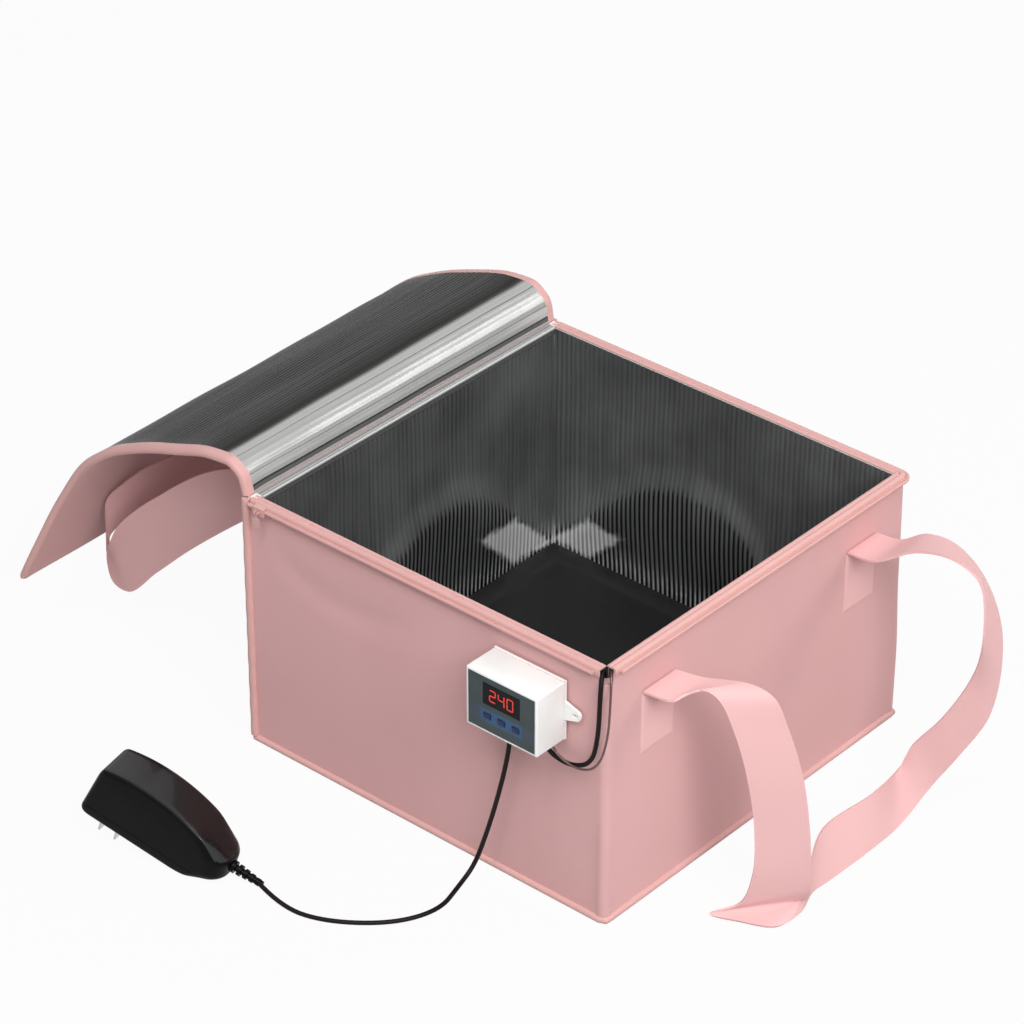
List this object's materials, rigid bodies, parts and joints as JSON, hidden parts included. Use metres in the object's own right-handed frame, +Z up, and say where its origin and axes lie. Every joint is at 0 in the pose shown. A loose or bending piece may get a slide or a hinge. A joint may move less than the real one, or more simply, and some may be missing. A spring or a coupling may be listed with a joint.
{
  "type": "proofing box",
  "caption": "Soft insulated fabric box with a draped foil lined lid, carry straps, a heating pad, a digital thermostat hung on its wall and a wall adapter on a cord.",
  "frame": {"origin": "centre of the box's base on the floor", "axes": "+Z up, +X from the lid's hinge wall to its free side, +Y from the thermostat's wall to the back"},
  "size_m": [0.6599, 0.4828, 0.2281],
  "materials": {
    "cover": "plain woven nylon",
    "binding": "ribbed binding tape",
    "strap": "webbing",
    "foam": "closed cell foam",
    "lid_core": "foam faced with ribbed metallised film",
    "foil": "ribbed metallised film",
    "zip": "moulded coil",
    "zip_metal": "painted",
    "pad": "coated cloth",
    "heater": "laminated heating film",
    "black_cord": "matt",
    "probe_wire": "satin",
    "steel": "satin",
    "white_case": "moulded",
    "grey_panel": "moulded",
    "window": "polished",
    "display": "lit digits",
    "button": "moulded",
    "board": "printed board",
    "relay": "moulded",
    "grip": "hook and loop",
    "black_plastic": "moulded",
    "blade": "plated"
  },
  "bodies": {
    "box": {"outer_wrap": "cover", "left_wall_cover": "cover", "base_cover": "cover", "front_foam": "foam", "right_foam": "foam", "back_foam": "foam", "left_foam": "foam", "base_foam": "foam", "corner_foam_front": "foam", "corner_foam_back": "foam", "liner_front": "foil", "liner_right": "foil", "liner_back": "foil", "liner_left": "foil", "liner_base": "foil", "rim_binding": "binding", "side_piping": "binding", "base_piping": "binding", "rim_zip": "zip", "strap_tails_right": "strap", "strap_tails_left": "strap", "pad_cover": "pad", "pad_heater": "heater", "pad_lead": "black_cord", "probe_wire": "probe_wire", "probe_tip": "steel", "thermostat_case": "white_case", "thermostat_back": "white_case", "thermostat_panel": "grey_panel", "display_window": "window", "display_module": "display", "circuit_board": "board", "relay": "relay", "grip_pad": "grip", "power_cord": "black_cord", "adapter_top": "black_plastic", "adapter_base": "black_plastic", "adapter_blades": "blade", "adapter_strain_relief": "black_cord"},
    "lid_1": {"lid_cover_1": "cover", "lid_liner_1": "lid_core"},
    "lid_2": {"lid_cover_2": "cover", "lid_liner_2": "lid_core"},
    "lid_3": {"lid_cover_3": "cover", "lid_liner_3": "lid_core"},
    "lid_4": {"lid_cover_4": "cover", "lid_liner_4": "lid_core"},
    "lid_5": {"lid_cover_5": "cover", "lid_liner_5": "lid_core"},
    "lid_6": {"lid_cover_6": "cover", "lid_liner_6": "lid_core"},
    "lid_7": {"lid_cover_7": "cover", "lid_liner_7": "lid_core"},
    "zip_slider": {"zip_slider": "zip_metal"},
    "zip_pull": {"zip_pull": "zip_metal"},
    "strap_right": {"strap_right": "strap"},
    "strap_left": {"strap_left": "strap"},
    "button_set": {"button_set": "button"},
    "button_up": {"button_up": "button"},
    "button_down": {"button_down": "button"}
  },
  "joints": [
    {"name": "lid_fold_1", "type": "hinge", "parent": "box", "child": "lid_1", "pos_m": [-0.156, 0, 0.2003], "axis": [0, 1, 0], "range_deg": [0, 100]},
    {"name": "lid_fold_2", "type": "hinge", "parent": "lid_1", "child": "lid_2", "pos_m": [-0.15895, 0, 0.21704], "axis": [0, 1, 0], "range_deg": [0, 42]},
    {"name": "lid_fold_3", "type": "hinge", "parent": "lid_2", "child": "lid_3", "pos_m": [-0.17314, 0, 0.22812], "axis": [0, 1, 0], "range_deg": [0, 43]},
    {"name": "lid_fold_4", "type": "hinge", "parent": "lid_3", "child": "lid_4", "pos_m": [-0.20302, 0, 0.22551], "axis": [0, 1, 0], "range_deg": [0, 15]},
    {"name": "lid_fold_5", "type": "hinge", "parent": "lid_4", "child": "lid_5", "pos_m": [-0.25565, 0, 0.20636], "axis": [0, 1, 0], "range_deg": [0, 7]},
    {"name": "lid_fold_6", "type": "hinge", "parent": "lid_5", "child": "lid_6", "pos_m": [-0.29307, 0, 0.18729], "axis": [0, 1, 0], "range_deg": [0, 13]},
    {"name": "lid_fold_7", "type": "hinge", "parent": "lid_6", "child": "lid_7", "pos_m": [-0.32677, 0, 0.15901], "axis": [0, 1, 0], "range_deg": [0, 20]},
    {"name": "zip_slide", "type": "slide", "parent": "box", "child": "zip_slider", "axis": [1, 0, 0], "range_m": [0, 0.2808]},
    {"name": "zip_pull_swing", "type": "hinge", "parent": "zip_slider", "child": "zip_pull", "pos_m": [-0.1428, -0.1651, 0.1968], "axis": [-1, 0, 0], "range_deg": [0, 120]},
    {"name": "strap_right_lift", "type": "hinge", "parent": "box", "child": "strap_right", "pos_m": [0.159, 0, 0.168], "axis": [0, -1, 0], "range_deg": [0, 40]},
    {"name": "strap_left_lift", "type": "hinge", "parent": "box", "child": "strap_left", "pos_m": [-0.159, 0, 0.168], "axis": [0, 1, 0], "range_deg": [-5.5, 1]},
    {"name": "button_set_press", "type": "slide", "parent": "box", "child": "button_set", "axis": [0, 1, 0], "range_m": [0, 0.0004], "stiffness_N_per_m": 400},
    {"name": "button_up_press", "type": "slide", "parent": "box", "child": "button_up", "axis": [0, 1, 0], "range_m": [0, 0.0004], "stiffness_N_per_m": 400},
    {"name": "button_down_press", "type": "slide", "parent": "box", "child": "button_down", "axis": [0, 1, 0], "range_m": [0, 0.0004], "stiffness_N_per_m": 400}
  ]
}
